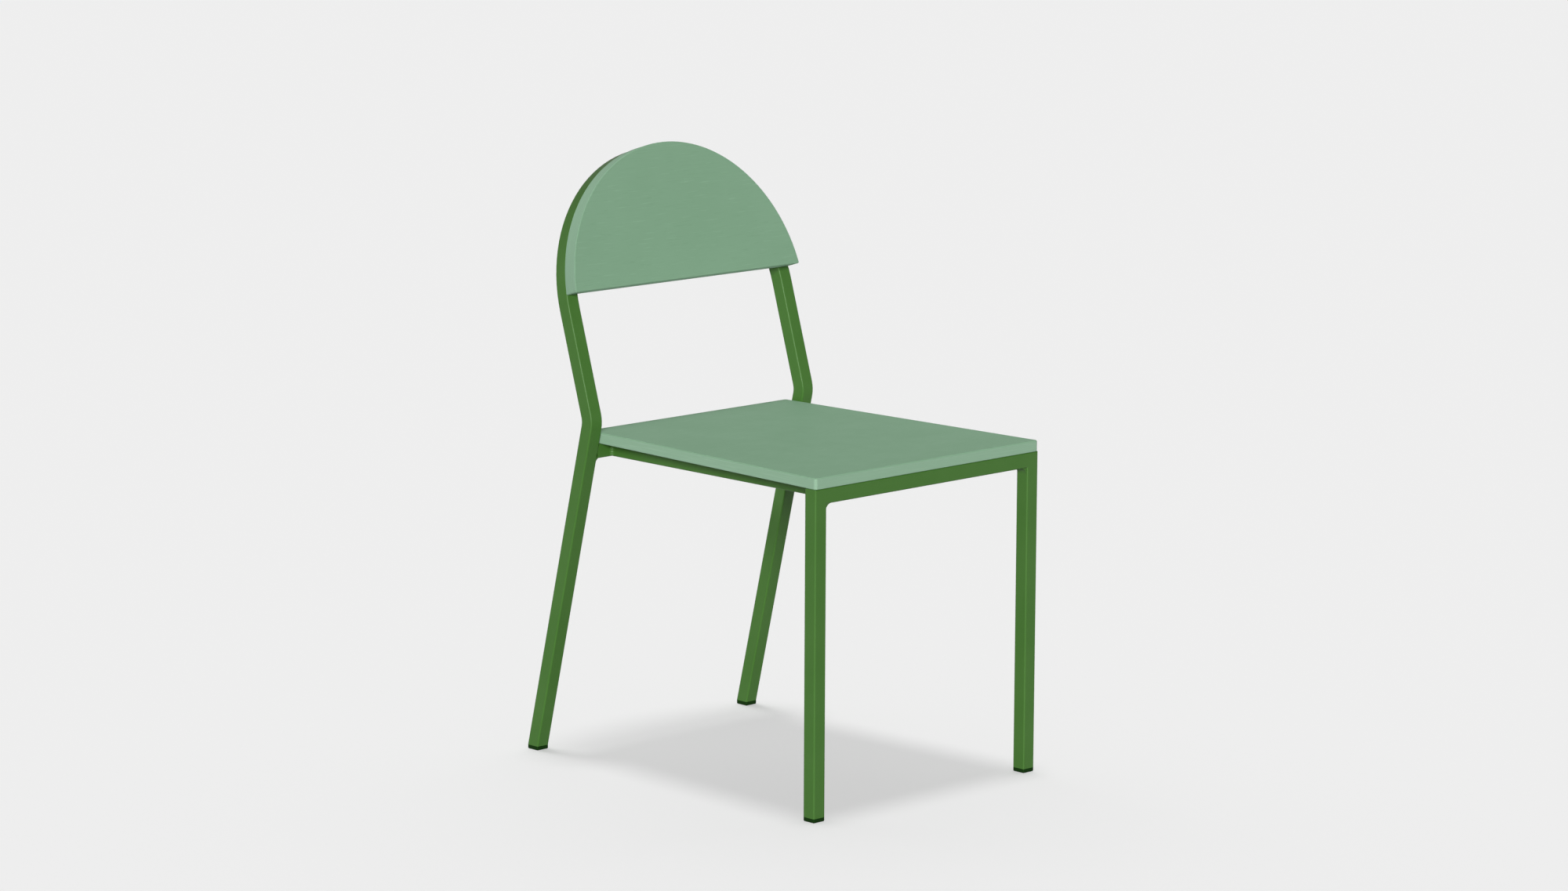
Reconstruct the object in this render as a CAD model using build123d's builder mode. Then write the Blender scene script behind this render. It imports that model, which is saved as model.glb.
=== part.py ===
from build123d import *
from math import cos, radians, sin, tan
import os

os.makedirs("parts", exist_ok=True)

# Overall size: the chair faces -Y and stands on the floor at z = 0, centred on the Z axis
frame_width = 411
frame_depth = 558
seat_height = 450

# Square steel tube, used for the whole frame
tube_size = 20
tube_corner = 2
tube_wall = 1.5

# Rear hoop: legs with the feet set back, knees just above the seat, uprights leaning back, round arch
leg_lean = 13.75
back_lean = 17
knee_height = 466
knee_radius = 30
upright_length = 152

# Seat panel, narrower at the rear so that it passes between the rear legs
seat_thickness = 15
seat_depth = 458
seat_leg_gap = 2.7
seat_front_corner = 4
seat_rear_corner = 5
seat_top_edge = 2
seat_bottom_edge = 1

# Back panel, a half disc screwed to the front of the arch
back_thickness = 21
back_overhang = 0.8
back_edge_rise = 18.5
back_corner = 2
back_edge = 1

# Rails under the seat
rail_inset = 45

# Glides: a pad under the tube end and a ribbed spigot pressed into the bore
glide_height = 5.5
glide_chamfer = 1
spigot_length = 18
spigot_core = 13
rib_play = 0.2
rib_thickness = 1.6
rib_count = 3

# Weld fillets in the inner corners of the frame
corner_weld = 10
rear_weld_length = 12
side_weld = 5

# Button-head screws and threaded inserts; access holes under the rails let the seat's screws in
back_screw_length = 30
seat_screw_length = 12
screw_shank = 4.6
screw_tip = 0.8
screw_head = 10
screw_head_height = 3
screw_head_rim = 0.8
socket_size = 3.2
socket_depth = 1.8
socket_sides = 6
screw_hole = 5.5
access_hole = 12
insert_diameter = 7.6
insert_bore = 5
insert_length = 10
insert_hole = 8
insert_hole_depth = 11.5
back_screw_count = 4
back_screw_start = 25
seat_screw_inset = 90

# Places worked out from the sizes
half_tube = tube_size / 2
half_width = frame_width / 2
leg_x = half_width - half_tube
inner_x = half_width - tube_size
front_y = -frame_depth / 2
rear_y = frame_depth / 2
front_leg_y = front_y + half_tube
seat_underside = seat_height - seat_thickness
rail_z = seat_underside - half_tube
rail_underside = seat_underside - tube_size
rail_x = half_width - rail_inset - half_tube
bore_size = tube_size - 2 * tube_wall
rib_size = bore_size - rib_play
dome_rise = screw_head_height - screw_head_rim
dome_radius = ((screw_head / 2) ** 2 + dome_rise**2) / (2 * dome_rise)

# The rear hoop's centreline, seen from the side
foot_y = rear_y - half_tube / cos(radians(leg_lean))
knee_y = foot_y - (knee_height - glide_height) * tan(radians(leg_lean))
leg_up = Vector(0, -sin(radians(leg_lean)), cos(radians(leg_lean)))
leg_back = Vector(0, cos(radians(leg_lean)), sin(radians(leg_lean)))
back_up = Vector(0, sin(radians(back_lean)), cos(radians(back_lean)))
back_front = Vector(0, -cos(radians(back_lean)), sin(radians(back_lean)))
knee_angle = leg_lean + back_lean
knee_tangent = knee_radius * tan(radians(knee_angle / 2))
knee = Vector(-leg_x, knee_y, knee_height)
knee_start = knee - leg_up * knee_tangent
knee_end = knee + back_up * knee_tangent
leg_length = (knee_start.Z - glide_height) / cos(radians(leg_lean))
arch_centre = Vector(0, knee_y, knee_height) + back_up * upright_length
arch_start = arch_centre - Vector(leg_x, 0, 0)
rear_rail_y = knee_y + (knee_height - rail_z) * tan(radians(leg_lean))
side_rail_start = front_y + tube_size
side_rail_end = rear_rail_y - half_tube
back_plane = Plane(origin=arch_centre, x_dir=(1, 0, 0), z_dir=back_front)
floor_cut = Plane.XY.offset(glide_height)
weld_length = tube_size - 2 * tube_corner
sides = (("left", -1), ("right", 1))

# Fixing places: along the arch, as seen on the back plane, and under the side rails
back_screw_step = (180 - 2 * back_screw_start) / (back_screw_count - 1)
back_screw_points = []
for index in range(back_screw_count):
    angle = radians(back_screw_start + index * back_screw_step)
    back_screw_points.append((leg_x * cos(angle), leg_x * sin(angle)))
seat_screw_points = []
for side_name, side in sides:
    for along in (side_rail_start + seat_screw_inset, side_rail_end - seat_screw_inset):
        seat_screw_points.append((side * rail_x, along))


# Hollow square section with rounded corners, drawn on the given plane
def tube_section(plane):
    with BuildSketch(plane) as section:
        RectangleRounded(tube_size, tube_size, tube_corner)
        RectangleRounded(bore_size, bore_size, tube_corner - tube_wall, mode=Mode.SUBTRACT)
    return section.sketch


# Concave weld fillet in the corner at the plane's origin, between its x and y directions
def weld_section(plane, leg):
    with BuildSketch(plane) as section:
        with BuildLine():
            Line((0, 0), (leg, 0))
            CenterArc((leg, leg), leg, 180, 90)
            Line((0, leg), (0, 0))
        make_face()
    return section.sketch


# Screw along +Z with the underside of its domed head at the origin
def button_screw(length):
    shank_radius = screw_shank / 2
    head_radius = screw_head / 2
    with BuildPart() as screw:
        with BuildSketch(Plane.XZ):
            with BuildLine():
                Line((0, length), (shank_radius - screw_tip, length))
                Line((shank_radius - screw_tip, length), (shank_radius, length - screw_tip))
                Line((shank_radius, length - screw_tip), (shank_radius, 0))
                Line((shank_radius, 0), (head_radius, 0))
                Line((head_radius, 0), (head_radius, -screw_head_rim))
                RadiusArc((head_radius, -screw_head_rim), (0, -screw_head_height), dome_radius)
                Line((0, -screw_head_height), (0, length))
            make_face()
        revolve(axis=Axis.Z)
        with BuildSketch(Plane.XY.offset(socket_depth - screw_head_height)):
            RegularPolygon(socket_size / 2, socket_sides, major_radius=False)
        extrude(amount=-screw_head_height, mode=Mode.SUBTRACT)
    return screw.part


# Threaded insert along +Z from the origin
def threaded_insert():
    with BuildPart() as insert:
        with BuildSketch(Plane.XY):
            Circle(insert_diameter / 2)
            Circle(insert_bore / 2, mode=Mode.SUBTRACT)
        extrude(amount=insert_length)
    return insert.part


back_screw = button_screw(back_screw_length)
seat_screw = button_screw(seat_screw_length)
insert = threaded_insert()

# Rear hoop: the left half is a leg, a knee, an upright and a quarter arch, and the right half mirrors it
with BuildPart() as rear_hoop:
    leg_plane = Plane(origin=knee_start, x_dir=(1, 0, 0), z_dir=leg_up)
    upright_plane = Plane(origin=knee_end, x_dir=(1, 0, 0), z_dir=back_up)
    arch_plane = Plane(origin=arch_start, x_dir=(1, 0, 0), z_dir=back_up)
    extrude(tube_section(leg_plane), amount=-(leg_length + tube_size))
    split(bisect_by=floor_cut, keep=Keep.TOP)
    knee_axis = Axis(knee_start + leg_back * knee_radius, (-1, 0, 0))
    revolve(tube_section(leg_plane), axis=knee_axis, revolution_arc=knee_angle)
    extrude(tube_section(upright_plane), amount=upright_length - knee_tangent)
    revolve(tube_section(arch_plane), axis=Axis(arch_centre, -back_front), revolution_arc=90)
    mirror(about=Plane.YZ)
    with BuildSketch(back_plane.offset(-tube_size)):
        with Locations(*back_screw_points):
            Circle(screw_hole / 2)
    extrude(amount=2 * tube_size, mode=Mode.SUBTRACT)
rear_hoop.part.label = "rear_hoop"
export_step(rear_hoop.part, "parts/rear_hoop.step")

# Front legs, mitred at the top
for side_name, side in sides:
    with BuildPart() as front_leg:
        leg_foot = Plane(origin=(side * leg_x, front_leg_y, glide_height))
        mitre = Plane(origin=(side * leg_x, front_leg_y, rail_z), x_dir=(0, 1, 0), z_dir=(-side, 0, 1))
        extrude(tube_section(leg_foot), amount=seat_underside - glide_height)
        split(bisect_by=mitre, keep=Keep.BOTTOM)
    front_leg.part.label = f"front_leg_{side_name}"
    export_step(front_leg.part, f"parts/front_leg_{side_name}.step")

# Front rail, mitred at both ends
with BuildPart() as front_rail:
    rail_end = Plane(origin=(-half_width, front_leg_y, rail_z), x_dir=(0, 1, 0), z_dir=(1, 0, 0))
    extrude(tube_section(rail_end), amount=frame_width)
    for side_name, side in sides:
        mitre = Plane(origin=(side * leg_x, front_leg_y, rail_z), x_dir=(0, 1, 0), z_dir=(-side, 0, 1))
        split(bisect_by=mitre, keep=Keep.TOP)
front_rail.part.label = "front_rail"
export_step(front_rail.part, "parts/front_rail.step")

# Rear cross rail, level between the rear legs
with BuildPart() as rear_cross_rail:
    rail_end = Plane(origin=(-inner_x, rear_rail_y, rail_z), x_dir=(0, 1, 0), z_dir=(1, 0, 0))
    extrude(tube_section(rail_end), amount=2 * inner_x)
rear_cross_rail.part.label = "rear_cross_rail"
export_step(rear_cross_rail.part, "parts/rear_cross_rail.step")

# Side rails, butted between the front rail and the rear cross rail, with holes for the seat's screws
for side_name, side in sides:
    with BuildPart() as side_rail:
        rail_end = Plane(origin=(side * rail_x, side_rail_start, rail_z), x_dir=(1, 0, 0), z_dir=(0, 1, 0))
        extrude(tube_section(rail_end), amount=side_rail_end - side_rail_start)
        with BuildSketch(Plane.XY.offset(rail_underside)):
            with Locations(*seat_screw_points):
                Circle(access_hole / 2)
        extrude(amount=half_tube, mode=Mode.SUBTRACT)
        with BuildSketch(Plane.XY.offset(rail_z)):
            with Locations(*seat_screw_points):
                Circle(screw_hole / 2)
        extrude(amount=half_tube, mode=Mode.SUBTRACT)
    side_rail.part.label = f"side_rail_{side_name}"
    export_step(side_rail.part, f"parts/side_rail_{side_name}.step")

# Weld fillets below the front rail, inside the front legs
with BuildPart() as front_corner_welds:
    for side_name, side in sides:
        corner = (side * inner_x, front_leg_y + side * weld_length / 2, rail_underside)
        weld_plane = Plane(origin=corner, x_dir=(-side, 0, 0), z_dir=(0, -side, 0))
        extrude(weld_section(weld_plane, corner_weld), amount=weld_length)
front_corner_welds.part.label = "front_corner_welds"
export_step(front_corner_welds.part, "parts/front_corner_welds.step")

# Weld fillets below the rear cross rail, inside the rear legs
with BuildPart() as rear_rail_welds:
    weld_middle = rear_rail_y + (weld_length - rear_weld_length) / 2
    for side_name, side in sides:
        corner = (side * inner_x, weld_middle + side * rear_weld_length / 2, rail_underside)
        weld_plane = Plane(origin=corner, x_dir=(-side, 0, 0), z_dir=(0, -side, 0))
        extrude(weld_section(weld_plane, corner_weld), amount=rear_weld_length)
rear_rail_welds.part.label = "rear_rail_welds"
export_step(rear_rail_welds.part, "parts/rear_rail_welds.step")

# Upright weld fillets at both ends of the side rails, on their outer sides
with BuildPart() as side_rail_welds:
    for side_name, side in sides:
        for turn, along in ((1, side_rail_start), (-1, side_rail_end)):
            corner = (side * (rail_x + half_tube), along, rail_z - side * turn * weld_length / 2)
            weld_plane = Plane(origin=corner, x_dir=(side, 0, 0), z_dir=(0, 0, side * turn))
            extrude(weld_section(weld_plane, side_weld), amount=weld_length)
side_rail_welds.part.label = "side_rail_welds"
export_step(side_rail_welds.part, "parts/side_rail_welds.step")

# Seat panel, with blind holes for the inserts in its underside
with BuildPart() as seat_panel:
    with BuildSketch(Plane.XY.offset(seat_underside)) as seat_outline:
        with BuildLine():
            Polyline(
                (-half_width, front_y),
                (half_width, front_y),
                (inner_x - seat_leg_gap, front_y + seat_depth),
                (seat_leg_gap - inner_x, front_y + seat_depth),
                close=True,
            )
        make_face()
        fillet(seat_outline.vertices().group_by(Axis.Y)[0], seat_front_corner)
        fillet(seat_outline.vertices().group_by(Axis.Y)[-1], seat_rear_corner)
    extrude(amount=seat_thickness)
    fillet(seat_panel.edges().group_by(Axis.Z)[-1], seat_top_edge)
    fillet(seat_panel.edges().group_by(Axis.Z)[0], seat_bottom_edge)
    with BuildSketch(Plane.XY.offset(seat_underside)):
        with Locations(*seat_screw_points):
            Circle(insert_hole / 2)
    extrude(amount=insert_hole_depth, mode=Mode.SUBTRACT)
seat_panel.part.label = "seat_panel"
export_step(seat_panel.part, "parts/seat_panel.step")

# Back panel, with blind holes for the inserts in its rear face
with BuildPart() as back_panel:
    with BuildSketch(back_plane.offset(half_tube)) as back_outline:
        Circle(half_width + back_overhang)
        with Locations((0, back_edge_rise)):
            Rectangle(frame_width * 2, frame_width, align=(Align.CENTER, Align.MAX), mode=Mode.SUBTRACT)
        fillet(back_outline.vertices(), back_corner)
    extrude(amount=back_thickness)
    fillet(back_panel.faces().sort_by(Axis(arch_centre, back_front))[0].edges(), back_edge)
    fillet(back_panel.faces().sort_by(Axis(arch_centre, back_front))[-1].edges(), back_edge)
    with BuildSketch(back_plane.offset(half_tube)):
        with Locations(*back_screw_points):
            Circle(insert_hole / 2)
    extrude(amount=insert_hole_depth, mode=Mode.SUBTRACT)
back_panel.part.label = "back_panel"
export_step(back_panel.part, "parts/back_panel.step")

# Glides in the four tube ends
for end_name, pad_y, up in (("front", front_leg_y, Vector(0, 0, 1)), ("rear", foot_y, leg_up)):
    for side_name, side in sides:
        with BuildPart() as glide:
            pad_base = Vector(side * leg_x, pad_y, 0)
            pad_top = Vector(side * leg_x, pad_y, glide_height)
            with BuildSketch(Plane(origin=pad_base)):
                RectangleRounded(tube_size, tube_size / up.Z, tube_corner)
            extrude(amount=glide_height)
            chamfer(glide.edges().group_by(Axis.Z)[0], glide_chamfer)
            with BuildSketch(Plane(origin=pad_top)):
                Rectangle(spigot_core, spigot_core / up.Z)
            extrude(amount=spigot_length, dir=up)
            for rib in range(rib_count):
                rib_base = pad_top + up * (spigot_length * (rib + 1) / (rib_count + 1))
                with BuildSketch(Plane(origin=rib_base)):
                    RectangleRounded(rib_size, rib_size / up.Z, tube_corner - tube_wall)
                extrude(amount=rib_thickness, dir=up)
        glide.part.label = f"glide_{end_name}_{side_name}"
        export_step(glide.part, f"parts/glide_{end_name}_{side_name}.step")

# Screws from behind the arch and the inserts that they reach in the back panel
with BuildPart(back_plane.offset(-half_tube)) as back_screws:
    with Locations(*back_screw_points):
        add(back_screw)
back_screws.part.label = "back_screws"
export_step(back_screws.part, "parts/back_screws.step")

with BuildPart(back_plane.offset(half_tube)) as back_inserts:
    with Locations(*back_screw_points):
        add(insert)
back_inserts.part.label = "back_inserts"
export_step(back_inserts.part, "parts/back_inserts.step")

# Screws inside the side rails and the inserts that they reach in the seat panel
with BuildPart(Plane.XY.offset(seat_underside - tube_wall)) as seat_screws:
    with Locations(*seat_screw_points):
        add(seat_screw)
seat_screws.part.label = "seat_screws"
export_step(seat_screws.part, "parts/seat_screws.step")

with BuildPart(Plane.XY.offset(seat_underside)) as seat_inserts:
    with Locations(*seat_screw_points):
        add(insert)
seat_inserts.part.label = "seat_inserts"
export_step(seat_inserts.part, "parts/seat_inserts.step")
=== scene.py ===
import math

import bmesh
import bpy
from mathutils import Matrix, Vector


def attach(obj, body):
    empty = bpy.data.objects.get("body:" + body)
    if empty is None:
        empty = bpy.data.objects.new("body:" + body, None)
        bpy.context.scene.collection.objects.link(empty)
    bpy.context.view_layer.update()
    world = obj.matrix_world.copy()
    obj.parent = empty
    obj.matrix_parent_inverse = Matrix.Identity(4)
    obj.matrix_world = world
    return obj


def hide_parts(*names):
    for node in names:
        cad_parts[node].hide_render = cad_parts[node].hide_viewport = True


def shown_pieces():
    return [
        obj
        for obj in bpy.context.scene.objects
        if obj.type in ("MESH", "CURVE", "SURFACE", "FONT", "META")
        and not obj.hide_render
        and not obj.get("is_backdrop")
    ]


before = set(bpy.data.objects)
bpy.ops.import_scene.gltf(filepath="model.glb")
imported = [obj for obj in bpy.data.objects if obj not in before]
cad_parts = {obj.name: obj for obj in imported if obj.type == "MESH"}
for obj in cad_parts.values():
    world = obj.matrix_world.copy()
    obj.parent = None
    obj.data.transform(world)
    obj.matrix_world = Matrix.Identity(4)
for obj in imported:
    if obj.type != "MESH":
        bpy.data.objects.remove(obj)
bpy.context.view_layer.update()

# Frame: square steel tube with rounded corners, cut, bent and welded into one rigid piece.
# It is powder coated in a satin leaf green, which sets with a fine orange-peel surface
# and a slightly uneven tone.
frame_tubes = (
    "rear_hoop",
    "front_leg_left",
    "front_leg_right",
    "front_rail",
    "rear_cross_rail",
    "side_rail_left",
    "side_rail_right",
)
leaf_green = (0.054, 0.152, 0.025, 1.0)
leaf_green_deep = (0.048, 0.143, 0.021, 1.0)


def put(tree, kind, inputs=None, **settings):
    made = tree.nodes.new(kind)
    for name, value in settings.items():
        setattr(made, name, value)
    for key, value in (inputs or {}).items():
        if isinstance(value, bpy.types.NodeSocket):
            tree.links.new(value, made.inputs[key])
        else:
            made.inputs[key].default_value = value
    return made


def ramp(tree, value, start, end, low=0.0, high=1.0, interpolation="LINEAR"):
    limits = {"Value": value, "From Min": start, "From Max": end, "To Min": low, "To Max": high}
    made = put(tree, "ShaderNodeMapRange", limits, interpolation_type=interpolation)
    return made.outputs["Result"]


def work_out(tree, operation, first, second):
    made = put(tree, "ShaderNodeMath", {0: first, 1: second}, operation=operation)
    return made.outputs["Value"]


def mix_tones(tree, share, tone, other_tone):
    tones = {"Factor": share, "A": tone, "B": other_tone}
    return put(tree, "ShaderNodeMix", tones, data_type="RGBA").outputs["Result"]


def bump(tree, height, strength, distance, under=None):
    relief = {"Height": height, "Strength": strength, "Distance": distance}
    if under:
        relief["Normal"] = under
    return put(tree, "ShaderNodeBump", relief).outputs["Normal"]


def new_group(name, kind, inputs, outputs):
    tree = bpy.data.node_groups.new(name, kind)
    for label, socket, value in inputs:
        made = tree.interface.new_socket(label, in_out="INPUT", socket_type=socket)
        if value is not None:
            made.default_value = value
    for label, socket in outputs:
        tree.interface.new_socket(label, in_out="OUTPUT", socket_type=socket)
    return tree, tree.nodes.new("NodeGroupInput"), tree.nodes.new("NodeGroupOutput")


def use_group(tree, group, values):
    return put(tree, "ShaderNodeGroup", values, node_tree=group)


def new_material(name):
    material = bpy.data.materials.new(name)
    material.use_nodes = True
    tree = material.node_tree
    tree.nodes.clear()
    shader = put(tree, "ShaderNodeBsdfPrincipled")
    put(tree, "ShaderNodeOutputMaterial", {"Surface": shader.outputs["BSDF"]})
    place = put(tree, "ShaderNodeTexCoord").outputs["Object"]
    return material, tree, shader, place


def dress(tree, shader, tone, roughness, normal):
    tree.links.new(tone, shader.inputs["Base Color"])
    tree.links.new(roughness, shader.inputs["Roughness"])
    tree.links.new(normal, shader.inputs["Normal"])


def give(piece, material):
    if not piece.material_slots:
        piece.data.materials.append(material)
    for material_slot in piece.material_slots:
        material_slot.material = material


# Tone that drifts between two colours in soft clouds
uneven_tone, tone_in, tone_out = new_group(
    "uneven_tone",
    "ShaderNodeTree",
    (
        ("Place", "NodeSocketVector", None),
        ("Clouds per metre", "NodeSocketFloat", 10.0),
        ("Tone", "NodeSocketColor", None),
        ("Other tone", "NodeSocketColor", None),
    ),
    (("Tone", "NodeSocketColor"),),
)
clouds = put(
    uneven_tone,
    "ShaderNodeTexNoise",
    {
        "Vector": tone_in.outputs["Place"],
        "Scale": tone_in.outputs["Clouds per metre"],
        "Detail": 3.0,
        "Roughness": 0.55,
    },
)
drift = ramp(uneven_tone, clouds.outputs["Fac"], start=0.3, end=0.7, interpolation="SMOOTHSTEP")
drifting = mix_tones(uneven_tone, drift, tone_in.outputs["Tone"], tone_in.outputs["Other tone"])
uneven_tone.links.new(drifting, tone_out.inputs["Tone"])

# Skin of a coat or moulding: fine lumps for the bump and a roughness that wanders with them
fine_skin, skin_in, skin_out = new_group(
    "fine_skin",
    "ShaderNodeTree",
    (
        ("Place", "NodeSocketVector", None),
        ("Lumps per metre", "NodeSocketFloat", 800.0),
        ("Patches per metre", "NodeSocketFloat", 25.0),
        ("Smoothest", "NodeSocketFloat", 0.4),
        ("Roughest", "NodeSocketFloat", 0.5),
    ),
    (("Height", "NodeSocketFloat"), ("Roughness", "NodeSocketFloat")),
)
lumps = put(
    fine_skin,
    "ShaderNodeTexNoise",
    {
        "Vector": skin_in.outputs["Place"],
        "Scale": skin_in.outputs["Lumps per metre"],
        "Detail": 2.0,
        "Roughness": 0.45,
    },
)
patches = put(
    fine_skin,
    "ShaderNodeTexNoise",
    {
        "Vector": skin_in.outputs["Place"],
        "Scale": skin_in.outputs["Patches per metre"],
        "Detail": 4.0,
        "Roughness": 0.6,
    },
)
sheen = ramp(
    fine_skin,
    work_out(fine_skin, "ADD", lumps.outputs["Fac"], patches.outputs["Fac"]),
    start=0.7,
    end=1.3,
    low=skin_in.outputs["Smoothest"],
    high=skin_in.outputs["Roughest"],
)
fine_skin.links.new(lumps.outputs["Fac"], skin_out.inputs["Height"])
fine_skin.links.new(sheen, skin_out.inputs["Roughness"])


def powder_coat(name, ripples=None):
    material, tree, shader, place = new_material(name)
    tone = use_group(
        tree,
        uneven_tone,
        {
            "Place": place,
            "Clouds per metre": 14.0,
            "Tone": leaf_green,
            "Other tone": leaf_green_deep,
        },
    )
    skin = use_group(
        tree,
        fine_skin,
        {
            "Place": place,
            "Lumps per metre": 900.0,
            "Patches per metre": 30.0,
            "Smoothest": 0.40,
            "Roughest": 0.50,
        },
    )
    peel = bump(tree, skin.outputs["Height"], strength=0.12, distance=0.0003)
    if ripples:
        beads = put(
            tree,
            "ShaderNodeTexWave",
            {"Vector": place, "Scale": 90.0, "Distortion": 1.2, "Detail": 1.0},
            bands_direction=ripples,
        )
        peel = bump(tree, beads.outputs["Fac"], strength=0.7, distance=0.0006, under=peel)
    dress(tree, shader, tone.outputs["Tone"], skin.outputs["Roughness"], peel)
    shader.inputs["Specular IOR Level"].default_value = 0.25
    return material


leaf_green_coat = powder_coat("leaf_green_powder_coat")
for name in frame_tubes:
    give(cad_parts[name], leaf_green_coat)

# Welds: steel fillets in the inner corners of the frame, coated with it. The front corners
# are ground smooth, and the beads under the seat keep their ripples, across the bead.
give(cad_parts["front_corner_welds"], leaf_green_coat)
give(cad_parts["rear_rail_welds"], powder_coat("coat_over_level_beads", "Y"))
give(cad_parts["side_rail_welds"], powder_coat("coat_over_upright_beads", "Z"))

# Seat and back panels: plywood cut to shape with eased edges, sanded and painted in a matt
# sage green. The face veneer's grain shows faintly through the paint along X, and the
# edges are paler, with the plies as faint lines along them. The edges' paleness is partly
# their paint and partly painted light, and the back's edges are darker than the seat's only
# as painted shade.
seat_top = 0.450
seat_underside = 0.435
seat_rounding = 0.002
back_lean = math.radians(17.0)
back_turn = math.pi / 2 - back_lean
back_centre = Vector((0.0, 0.20046, 0.61136))
back_rear_face = 0.010
back_front_face = 0.031
back_rounding = 0.001
edge_tone_start = 0.4
edge_tone_full = 1.1
rear_paint_end = 0.0002
rear_edge_start = 0.0008
sage_face = (0.189, 0.321, 0.212, 1.0)
sage_face_deep = (0.182, 0.312, 0.204, 1.0)
sage_pore = (0.162, 0.287, 0.183, 1.0)
sage_streak = (0.230, 0.374, 0.254, 1.0)
# Edge and ply tones: the edges' paint, paler than the faces, plus painted light; the back's are
# darker than the seat's, which is painted shade.
sage_seat_edge_with_painted_light = (0.268, 0.430, 0.298, 1.0)
sage_seat_ply_with_painted_light = (0.310, 0.476, 0.342, 1.0)
sage_back_edge_with_painted_light = (0.214, 0.346, 0.239, 1.0)
sage_back_ply_with_painted_light = (0.234, 0.370, 0.260, 1.0)

# Grain and plies under paint: faint streaks, whose length and width the place's scale sets
faint_streaks, streaks_in, streaks_out = new_group(
    "faint_streaks",
    "ShaderNodeTree",
    (
        ("Place", "NodeSocketVector", None),
        ("Along, across and deep", "NodeSocketVector", (30.0, 600.0, 600.0)),
        ("Start", "NodeSocketFloat", 0.55),
        ("Full", "NodeSocketFloat", 0.8),
    ),
    (("Streaks", "NodeSocketFloat"), ("Height", "NodeSocketFloat")),
)
drawn_out = put(
    faint_streaks,
    "ShaderNodeVectorMath",
    {0: streaks_in.outputs["Place"], 1: streaks_in.outputs["Along, across and deep"]},
    operation="MULTIPLY",
)
fibres = put(
    faint_streaks,
    "ShaderNodeTexNoise",
    {"Vector": drawn_out.outputs["Vector"], "Scale": 1.0, "Detail": 3.0, "Roughness": 0.6},
)
picked = ramp(
    faint_streaks,
    fibres.outputs["Fac"],
    start=streaks_in.outputs["Start"],
    end=streaks_in.outputs["Full"],
    interpolation="SMOOTHSTEP",
)
faint_streaks.links.new(picked, streaks_out.inputs["Streaks"])
faint_streaks.links.new(fibres.outputs["Fac"], streaks_out.inputs["Height"])


def lay_streaks(tree, place, scale, start, full):
    values = {"Place": place, "Along, across and deep": scale, "Start": start, "Full": full}
    return use_group(tree, faint_streaks, values)


def painted_panel(name, centre, lean, rear_face, front_face, rounding, edge_paint_and_light, ply_paint_and_light):
    material, tree, shader, place = new_material(name)
    laid = put(
        tree,
        "ShaderNodeMapping",
        {"Vector": place, "Location": centre, "Rotation": (lean, 0.0, 0.0)},
        vector_type="TEXTURE",
    ).outputs["Vector"]
    depth = put(tree, "ShaderNodeSeparateXYZ", {"Vector": laid}).outputs["Z"]
    below_front = ramp(
        tree,
        depth,
        start=front_face - edge_tone_full * rounding,
        end=front_face - edge_tone_start * rounding,
        low=1.0,
        high=0.0,
        interpolation="SMOOTHSTEP",
    )
    above_rear = ramp(
        tree,
        depth,
        start=rear_face + rear_paint_end,
        end=rear_face + rear_edge_start,
        interpolation="SMOOTHSTEP",
    )
    on_edge = work_out(tree, "MULTIPLY", below_front, above_rear)
    face = use_group(
        tree,
        uneven_tone,
        {
            "Place": laid,
            "Clouds per metre": 9.0,
            "Tone": sage_face,
            "Other tone": sage_face_deep,
        },
    )
    grain = lay_streaks(tree, laid, scale=(24.0, 520.0, 520.0), start=0.56, full=0.86)
    plies = lay_streaks(tree, laid, scale=(18.0, 18.0, 700.0), start=0.45, full=0.85)
    pores = lay_streaks(tree, laid, scale=(-38.0, 760.0, 760.0), start=0.56, full=0.80)
    pored_face = mix_tones(tree, pores.outputs["Streaks"], face.outputs["Tone"], sage_pore)
    grained_face = mix_tones(tree, grain.outputs["Streaks"], pored_face, sage_streak)
    # The edge band's tone holds painted light on top of the edge's own paint.
    plied_edge_and_light = mix_tones(tree, plies.outputs["Streaks"], edge_paint_and_light, ply_paint_and_light)
    paint = mix_tones(tree, on_edge, grained_face, plied_edge_and_light)
    relief = put(
        tree,
        "ShaderNodeMix",
        {"Factor": on_edge, "A": grain.outputs["Height"], "B": plies.outputs["Height"]},
    ).outputs["Result"]
    skin = use_group(
        tree,
        fine_skin,
        {
            "Place": laid,
            "Lumps per metre": 1100.0,
            "Patches per metre": 18.0,
            "Smoothest": 0.52,
            "Roughest": 0.64,
        },
    )
    wood = bump(tree, relief, strength=0.10, distance=0.0004)
    film = bump(tree, skin.outputs["Height"], strength=0.06, distance=0.0003, under=wood)
    dress(tree, shader, paint, skin.outputs["Roughness"], film)
    shader.inputs["Specular IOR Level"].default_value = 0.02
    return material


seat_paint = painted_panel(
    "sage_paint_on_seat",
    centre=(0.0, 0.0, 0.0),
    lean=0.0,
    rear_face=seat_underside,
    front_face=seat_top,
    rounding=seat_rounding,
    edge_paint_and_light=sage_seat_edge_with_painted_light,
    ply_paint_and_light=sage_seat_ply_with_painted_light,
)
give(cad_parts["seat_panel"], seat_paint)
back_paint = painted_panel(
    "sage_paint_on_back",
    centre=back_centre,
    lean=back_turn,
    rear_face=back_rear_face,
    front_face=back_front_face,
    rounding=back_rounding,
    edge_paint_and_light=sage_back_edge_with_painted_light,
    ply_paint_and_light=sage_back_ply_with_painted_light,
)
give(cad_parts["back_panel"], back_paint)

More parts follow.
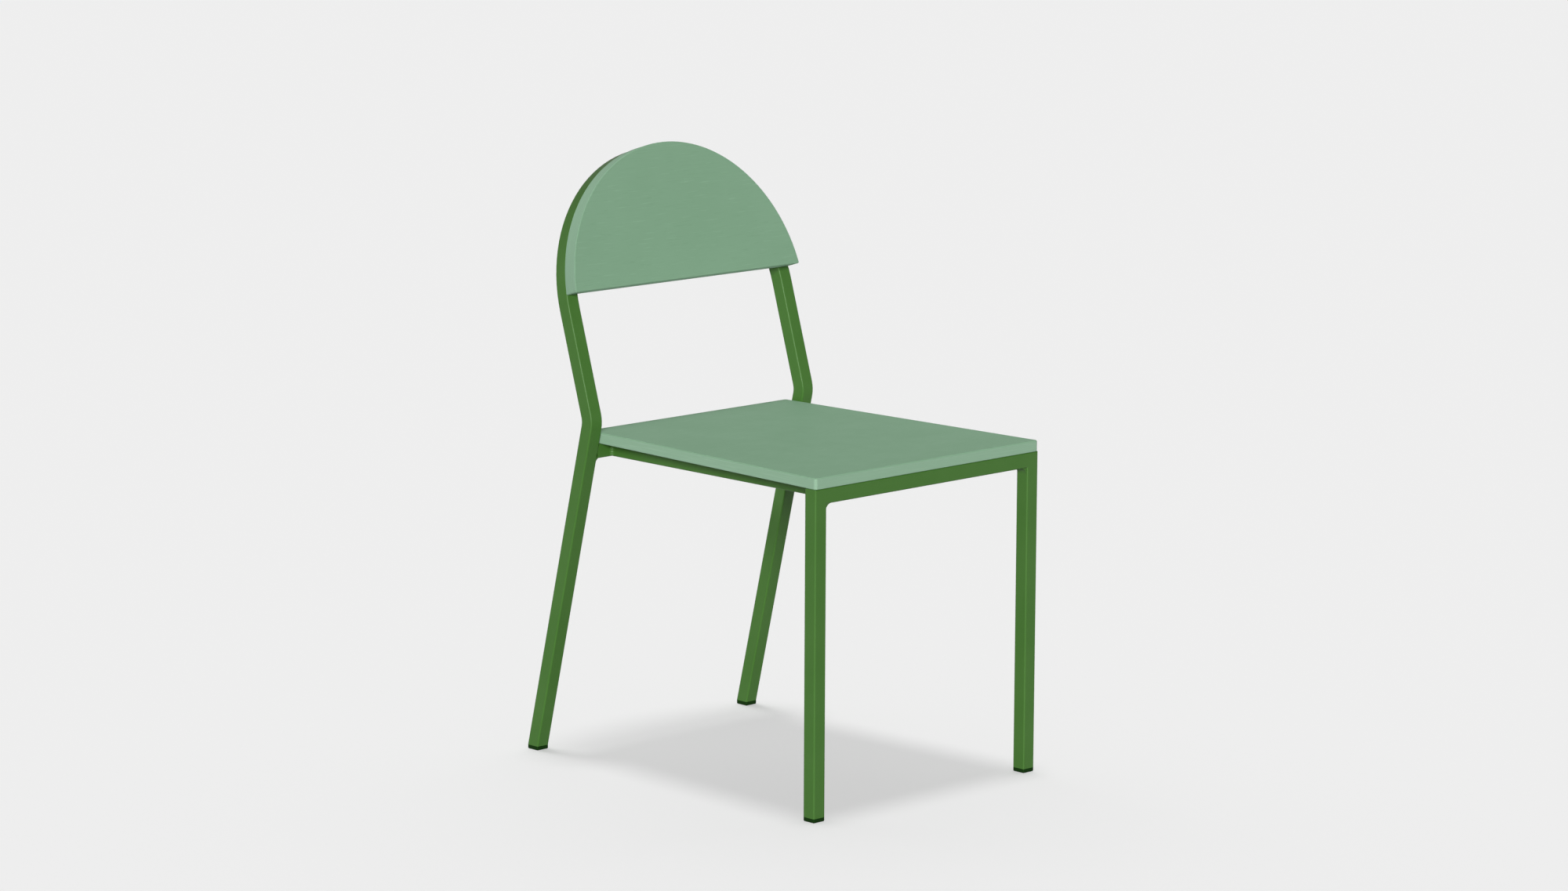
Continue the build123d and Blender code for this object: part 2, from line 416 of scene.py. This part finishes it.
# Glides: plugs moulded in green-black plastic, pressed into the four tube ends, with a plain pad
# that stands on the floor. The pad has the mould's fine texture and is scuffed pale underneath.
glides = ("glide_front_left", "glide_front_right", "glide_rear_left", "glide_rear_right")
moulded_black = (0.007, 0.030, 0.004, 1.0)
moulded_black_worn = (0.016, 0.042, 0.012, 1.0)
scuff_height = 0.002
scuffs_left_above = 0.15
black_plastic, glide_tree, glide_shader, glide_place = new_material("black_moulded_plastic")
glide_skin = use_group(
    glide_tree,
    fine_skin,
    {
        "Place": glide_place,
        "Lumps per metre": 1800.0,
        "Patches per metre": 120.0,
        "Smoothest": 0.45,
        "Roughest": 0.62,
    },
)
scuffs = lay_streaks(glide_tree, glide_place, scale=(300.0, 1500.0, 800.0), start=0.5, full=0.9)
glide_height = put(glide_tree, "ShaderNodeSeparateXYZ", {"Vector": glide_place}).outputs["Z"]
near_floor = ramp(
    glide_tree, glide_height, start=0.0, end=scuff_height, low=1.0, high=scuffs_left_above
)
scuffed = work_out(glide_tree, "MULTIPLY", scuffs.outputs["Streaks"], near_floor)
glide_tone = mix_tones(glide_tree, scuffed, moulded_black, moulded_black_worn)
glide_bump = bump(glide_tree, glide_skin.outputs["Height"], strength=0.25, distance=0.0002)
dress(glide_tree, glide_shader, glide_tone, glide_skin.outputs["Roughness"], glide_bump)
glide_shader.inputs["Specular IOR Level"].default_value = 0.04
for name in glides:
    give(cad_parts[name], black_plastic)

# Screws: zinc plated steel button heads with a hexagon socket and a rolled thread. Four go up
# into the seat from inside the side rails, through the access holes, and four longer ones go
# through the arch into the back panel. The heads keep the rings of the lathe.
head_radius = 0.005
head_height = 0.003
head_rim = 0.0008
head_edge = 0.0002
dome_steps = 5
socket_radius = 0.0016
socket_depth = 0.0018
socket_chamfer = 0.00015
socket_cone_depth = 0.0002
socket_cone_share = 0.55
hexagon_turn = math.pi / 3
seat_screw_length = 0.012
back_screw_length = 0.030
thread_crest = 0.00238
thread_root = 0.00205
thread_pitch = 0.0008
thread_start = 0.0004
thread_run_out = 0.0014
rings_per_turn = 5
point_taper = 0.0006
screw_segments = 36
screw_sharp_angle = math.radians(35.0)
seat_screw_seed = 3
back_screw_seed = 8
side_rail_x = 0.1505
side_rail_top_wall = 0.4335
side_rail_screw_y = (-0.169, 0.0660)
arch_radius = 0.1955
arch_screw_angles = (25.0, 68.333, 111.667, 155.0)
zinc_bright = (0.56, 0.57, 0.58, 1.0)
zinc_dull = (0.48, 0.49, 0.52, 1.0)


def hexagon_radius(flat_radius, angle):
    return flat_radius / math.cos((angle + hexagon_turn / 2) % hexagon_turn - hexagon_turn / 2)


def dome_height(radius):
    rise = head_height - head_rim
    sphere = (head_radius**2 + rise**2) / (2 * rise)
    return sphere - head_height - math.sqrt(sphere**2 - radius**2)


def screw_rings(length):
    angles = [2 * math.pi * step / screw_segments for step in range(screw_segments)]
    socket = [hexagon_radius(socket_radius, angle) for angle in angles]
    bottom = socket_depth - head_height
    rings = [
        [(socket_cone_share * radius, bottom + socket_cone_depth) for radius in socket],
        [(radius, bottom) for radius in socket],
        [(radius, dome_height(radius) + socket_chamfer) for radius in socket],
    ]
    for step in range(dome_steps + 1):
        share = step / dome_steps
        radii = [(radius + socket_chamfer) * (1 - share) + head_radius * share for radius in socket]
        rings.append([(radius, dome_height(min(radius, head_radius))) for radius in radii])
    rings.append([(head_radius, -head_edge)] * screw_segments)
    rings.append([(head_radius - head_edge, 0.0)] * screw_segments)
    rings.append([(thread_crest, 0.0)] * screw_segments)
    thread_steps = int((length - thread_run_out) / thread_pitch * rings_per_turn)
    for step in range(thread_steps + 1):
        height = thread_start + step * thread_pitch / rings_per_turn
        ring = []
        for angle in angles:
            wound = (height / thread_pitch - angle / (2 * math.pi)) % 1.0
            flank = 1.0 - abs(2.0 * wound - 1.0)
            ring.append((thread_root + (thread_crest - thread_root) * flank, height))
        rings.append(ring)
    rings.append([(thread_root - point_taper, length)] * screw_segments)
    return angles, rings


def turned_screw(name, length):
    shape = bmesh.new()
    lathe_radius = shape.verts.layers.float.new("lathe_radius")
    angles, rings = screw_rings(length)
    made_rings = []
    for ring in rings:
        made = []
        for angle, (radius, height) in zip(angles, ring):
            corner = shape.verts.new((radius * math.cos(angle), radius * math.sin(angle), height))
            corner[lathe_radius] = radius
            made.append(corner)
        made_rings.append(made)
    for inner, outer in zip(made_rings, made_rings[1:]):
        for step in range(screw_segments):
            following = (step + 1) % screw_segments
            shape.faces.new((inner[step], inner[following], outer[following], outer[step]))
    shape.faces.new(made_rings[0])
    shape.faces.new(made_rings[-1])
    bmesh.ops.recalc_face_normals(shape, faces=shape.faces)
    mesh = bpy.data.meshes.new(name)
    shape.to_mesh(mesh)
    shape.free()
    mesh.set_sharp_from_angle(angle=screw_sharp_angle)
    return bpy.data.objects.new(name, mesh)


zinc_plate, zinc_tree, zinc_shader, zinc_place = new_material("zinc_plated_steel")
zinc_radius = put(zinc_tree, "ShaderNodeAttribute", attribute_name="lathe_radius")
lathe_rings = put(
    zinc_tree,
    "ShaderNodeTexNoise",
    {"W": zinc_radius.outputs["Fac"], "Scale": 6000.0, "Detail": 2.0},
    noise_dimensions="1D",
)
zinc_skin = use_group(
    zinc_tree,
    fine_skin,
    {
        "Place": zinc_place,
        "Lumps per metre": 2500.0,
        "Patches per metre": 300.0,
        "Smoothest": 0.28,
        "Roughest": 0.42,
    },
)
zinc_tone = use_group(
    zinc_tree,
    uneven_tone,
    {
        "Place": zinc_place,
        "Clouds per metre": 500.0,
        "Tone": zinc_bright,
        "Other tone": zinc_dull,
    },
)
zinc_bump = bump(zinc_tree, lathe_rings.outputs["Fac"], strength=0.2, distance=0.0001)
zinc_roughness = zinc_skin.outputs["Roughness"]
dress(zinc_tree, zinc_shader, zinc_tone.outputs["Tone"], zinc_roughness, zinc_bump)
zinc_shader.inputs["Metallic"].default_value = 1.0

# A screw at each point, leaned to its axis and left at its own turn
set_screws, set_in, set_out = new_group(
    "set_screws",
    "GeometryNodeTree",
    (
        ("Points", "NodeSocketGeometry", None),
        ("Screw", "NodeSocketObject", None),
        ("Lean", "NodeSocketFloat", 0.0),
        ("Seed", "NodeSocketInt", 0),
        ("Finish", "NodeSocketMaterial", None),
    ),
    (("Screws", "NodeSocketGeometry"),),
)
blank_shape = put(set_screws, "GeometryNodeObjectInfo", {"Object": set_in.outputs["Screw"]})
last_turn = put(
    set_screws,
    "FunctionNodeRandomValue",
    {"Min": 0.0, "Max": hexagon_turn, "Seed": set_in.outputs["Seed"]},
    data_type="FLOAT",
)
turn = put(set_screws, "ShaderNodeCombineXYZ", {"Z": last_turn.outputs["Value"]})
lean = put(set_screws, "ShaderNodeCombineXYZ", {"X": set_in.outputs["Lean"]})
turned = put(set_screws, "FunctionNodeEulerToRotation", {"Euler": turn.outputs["Vector"]})
leaned = put(set_screws, "FunctionNodeEulerToRotation", {"Euler": lean.outputs["Vector"]})
aimed = put(
    set_screws,
    "FunctionNodeRotateRotation",
    {"Rotation": turned.outputs["Rotation"], "Rotate By": leaned.outputs["Rotation"]},
    rotation_space="GLOBAL",
)
placed = put(
    set_screws,
    "GeometryNodeInstanceOnPoints",
    {
        "Points": set_in.outputs["Points"],
        "Instance": blank_shape.outputs["Geometry"],
        "Rotation": aimed.outputs["Rotation"],
    },
)
solid_screws = put(
    set_screws, "GeometryNodeRealizeInstances", {"Geometry": placed.outputs["Instances"]}
)
plated = put(
    set_screws,
    "GeometryNodeSetMaterial",
    {"Geometry": solid_screws.outputs["Geometry"], "Material": set_in.outputs["Finish"]},
)
set_screws.links.new(plated.outputs["Geometry"], set_out.inputs["Screws"])


def grow(name, tree, points, values):
    start = bpy.data.meshes.new(name + "_start")
    start.from_pydata([tuple(point) for point in points], [], [])
    piece = bpy.data.objects.new(name, start)
    bpy.context.collection.objects.link(piece)
    growth = piece.modifiers.new("growth", "NODES")
    growth.node_group = tree
    for item in tree.interface.items_tree:
        if item.in_out == "INPUT" and item.name in values:
            growth[item.identifier] = values[item.name]
    bpy.context.view_layer.update()
    grown = bpy.data.meshes.new_from_object(
        piece.evaluated_get(bpy.context.evaluated_depsgraph_get())
    )
    piece.modifiers.remove(growth)
    piece.data = grown
    bpy.data.meshes.remove(start)
    return piece


seat_screw_points = [
    Vector((side * side_rail_x, along, side_rail_top_wall))
    for side in (-1, 1)
    for along in side_rail_screw_y
]
seat_screw = turned_screw("seat_screw", seat_screw_length)
seat_fixings = grow(
    "seat_fixing_screws",
    set_screws,
    seat_screw_points,
    {"Screw": seat_screw, "Lean": 0.0, "Seed": seat_screw_seed, "Finish": zinc_plate},
)
back_across = Vector((1.0, 0.0, 0.0))
back_up = Vector((0.0, math.sin(back_lean), math.cos(back_lean)))
back_forward = Vector((0.0, -math.cos(back_lean), math.sin(back_lean)))
back_screw_points = [
    back_centre
    + back_across * arch_radius * math.cos(math.radians(angle))
    + back_up * arch_radius * math.sin(math.radians(angle))
    - back_forward * back_rear_face
    for angle in arch_screw_angles
]
back_screw = turned_screw("back_screw", back_screw_length)
back_fixings = grow(
    "back_fixing_screws",
    set_screws,
    back_screw_points,
    {
        "Screw": back_screw,
        "Lean": back_turn,
        "Seed": back_screw_seed,
        "Finish": zinc_plate,
    },
)
for fixings, node in ((seat_fixings, "seat_screws"), (back_fixings, "back_screws")):
    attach(fixings, "root")
    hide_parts(node)
bpy.data.objects.remove(seat_screw)
bpy.data.objects.remove(back_screw)

# Inserts: brass bushes with a thread inside, pressed into blind holes in the panels, where
# the screws reach them. The rails and the arch cover them.
brass_bright = (0.62, 0.42, 0.13, 1.0)
brass_dull = (0.50, 0.32, 0.09, 1.0)
brass, brass_tree, brass_shader, brass_place = new_material("plain_brass")
brass_skin = use_group(
    brass_tree,
    fine_skin,
    {
        "Place": brass_place,
        "Lumps per metre": 2200.0,
        "Patches per metre": 250.0,
        "Smoothest": 0.3,
        "Roughest": 0.48,
    },
)
brass_tone = use_group(
    brass_tree,
    uneven_tone,
    {
        "Place": brass_place,
        "Clouds per metre": 400.0,
        "Tone": brass_bright,
        "Other tone": brass_dull,
    },
)
brass_bump = bump(brass_tree, brass_skin.outputs["Height"], strength=0.2, distance=0.0002)
brass_roughness = brass_skin.outputs["Roughness"]
dress(brass_tree, brass_shader, brass_tone.outputs["Tone"], brass_roughness, brass_bump)
brass_shader.inputs["Metallic"].default_value = 1.0
for name in ("seat_inserts", "back_inserts"):
    give(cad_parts[name], brass)

# Studio floor: a wide pale sheet of paper that reaches past the picture on all sides, so that
# it is the background as well. Part of its tone is fixed, which keeps the chair's shadow pale.
floor_half = 40.0
floor_white = (1.0, 1.0, 1.0, 1.0)
floor_bounce = (0.10, 0.10, 0.10, 1.0)
floor_fixed_share = 0.465


def seen_rays(tree):
    path = put(tree, "ShaderNodeLightPath")
    seen = path.outputs["Is Camera Ray"]
    for ray in ("Is Glossy Ray", "Is Transmission Ray"):
        seen = work_out(tree, "MAXIMUM", seen, path.outputs[ray])
    return seen


floor_mesh = bpy.data.meshes.new("studio_floor")
floor_mesh.from_pydata(
    [
        (-floor_half, -floor_half, 0.0),
        (floor_half, -floor_half, 0.0),
        (floor_half, floor_half, 0.0),
        (-floor_half, floor_half, 0.0),
    ],
    [],
    [(0, 1, 2, 3)],
)
floor = bpy.data.objects.new("studio_floor", floor_mesh)
bpy.context.collection.objects.link(floor)
floor_paper = bpy.data.materials.new("pale_studio_paper")
floor_paper.use_nodes = True
paper_tree = floor_paper.node_tree
paper_tree.nodes.clear()
paper_seen = seen_rays(paper_tree)
paper_fixed = put(paper_tree, "ShaderNodeEmission", {"Color": floor_white, "Strength": 1.0})
paper_tone = mix_tones(paper_tree, paper_seen, floor_bounce, floor_white)
paper_lit = put(paper_tree, "ShaderNodeBsdfDiffuse", {"Color": paper_tone})
paper_share = work_out(paper_tree, "MULTIPLY", paper_seen, floor_fixed_share)
paper_mix = put(
    paper_tree,
    "ShaderNodeMixShader",
    {0: paper_share, 1: paper_lit.outputs["BSDF"], 2: paper_fixed.outputs["Emission"]},
)
put(paper_tree, "ShaderNodeOutputMaterial", {"Surface": paper_mix.outputs["Shader"]})
floor_mesh.materials.append(floor_paper)
floor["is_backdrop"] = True

# Studio light: a pale room with a dim ceiling, brighter behind the chair, an overhead lamp for
# the panels and the shadow between the feet, a soft key lamp beside the camera for the chair
# alone, a glow from below for the back panel's lower edge, and a small fill for the far leg.
room_white = (1.0, 1.0, 1.0, 1.0)
room_pale = (0.855, 0.855, 0.855, 1.0)
room_ceiling = (0.10, 0.10, 0.10, 1.0)
room_rear_side = (0.65, 0.76, 0.0)
room_front = 0.14
room_rear = 1.15
leg_fill_place = (0.10, 0.25, 0.325)
leg_fill_direction = (-0.75, 0.62, 0.0)
room = bpy.data.worlds.new("pale_room")
room.use_nodes = True
bpy.context.scene.world = room
room_tree = room.node_tree
room_tree.nodes.clear()
room_direction = put(room_tree, "ShaderNodeTexCoord").outputs["Generated"]
towards_rear = put(
    room_tree,
    "ShaderNodeVectorMath",
    {0: room_direction, 1: room_rear_side},
    operation="DOT_PRODUCT",
).outputs["Value"]
room_strength = ramp(
    room_tree, towards_rear, start=0.0, end=0.9, low=room_front, high=room_rear
)
room_light = put(
    room_tree, "ShaderNodeBackground", {"Color": room_white, "Strength": room_strength}
).outputs["Background"]
room_height = put(room_tree, "ShaderNodeSeparateXYZ", {"Vector": room_direction}).outputs["Z"]
towards_ceiling = ramp(room_tree, room_height, start=0.15, end=0.40)
room_tone = mix_tones(room_tree, towards_ceiling, room_pale, room_ceiling)
room_seen = put(
    room_tree, "ShaderNodeBackground", {"Color": room_tone, "Strength": 1.0}
).outputs["Background"]
room_mix = put(
    room_tree,
    "ShaderNodeMixShader",
    {0: seen_rays(room_tree), 1: room_light, 2: room_seen},
)
put(room_tree, "ShaderNodeOutputWorld", {"Surface": room_mix.outputs["Shader"]})


def hang_lamp(lamp, direction):
    holder = bpy.data.objects.new(lamp.name, lamp)
    holder.rotation_euler = Vector(direction).to_track_quat("Z", "Y").to_euler()
    bpy.context.collection.objects.link(holder)
    return holder


def far_lamp(name, strength, softness, direction):
    lamp = bpy.data.lights.new(name, "SUN")
    lamp.energy = strength
    lamp.angle = math.radians(softness)
    return hang_lamp(lamp, direction)


def lit_pieces(name, pieces):
    lit = bpy.data.collections.new(name)
    for piece in pieces:
        lit.objects.link(piece)
    return lit


chair = lit_pieces("chair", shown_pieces())
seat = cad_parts["seat_panel"]
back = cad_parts["back_panel"]
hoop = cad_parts["rear_hoop"]
overhead_lamp = far_lamp("overhead_lamp", strength=1.12, softness=11.0, direction=(0.0, 0.0, 1.0))
overhead_lamp.light_linking.receiver_collection = lit_pieces("under_lamp", [seat, back, floor])
key_lamp = far_lamp("key_lamp", strength=3.80, softness=17.0, direction=(-0.706, -0.652, 0.276))
key_lamp.light_linking.receiver_collection = chair
floor_glow = far_lamp("floor_glow", strength=3.0, softness=60.0, direction=(0.0, 0.0, -1.0))
floor_glow.light_linking.receiver_collection = lit_pieces("over_glow", [back])
floor_glow.light_linking.blocker_collection = chair
leg_fill = bpy.data.lights.new("leg_fill", "AREA")
leg_fill.energy = 0.014
leg_fill.size = 0.06
leg_fill.spread = math.radians(65.0)
leg_fill_holder = hang_lamp(leg_fill, leg_fill_direction)
leg_fill_holder.location = leg_fill_place
leg_fill_holder.visible_camera = False
leg_fill_holder.visible_glossy = False
leg_fill_holder.light_linking.receiver_collection = lit_pieces("beside_fill", [hoop])

# Camera: a long lens, to the left of the chair's front and a little above the seat. Its place,
# turn and length are those at which the chair's outline meets that of the picture.
camera = bpy.data.cameras.new("camera")
camera.sensor_width = 36.0
camera.lens = 114.767
camera.clip_end = 200.0
viewpoint = bpy.data.objects.new("camera", camera)
viewpoint.location = (-4.55207, -4.72588, 1.61553)
viewpoint.rotation_euler = [math.radians(angle) for angle in (79.7639, -0.2534, -43.9289)]
bpy.context.collection.objects.link(viewpoint)
bpy.context.scene.camera = viewpoint
bpy.context.scene.view_settings.view_transform = "Standard"
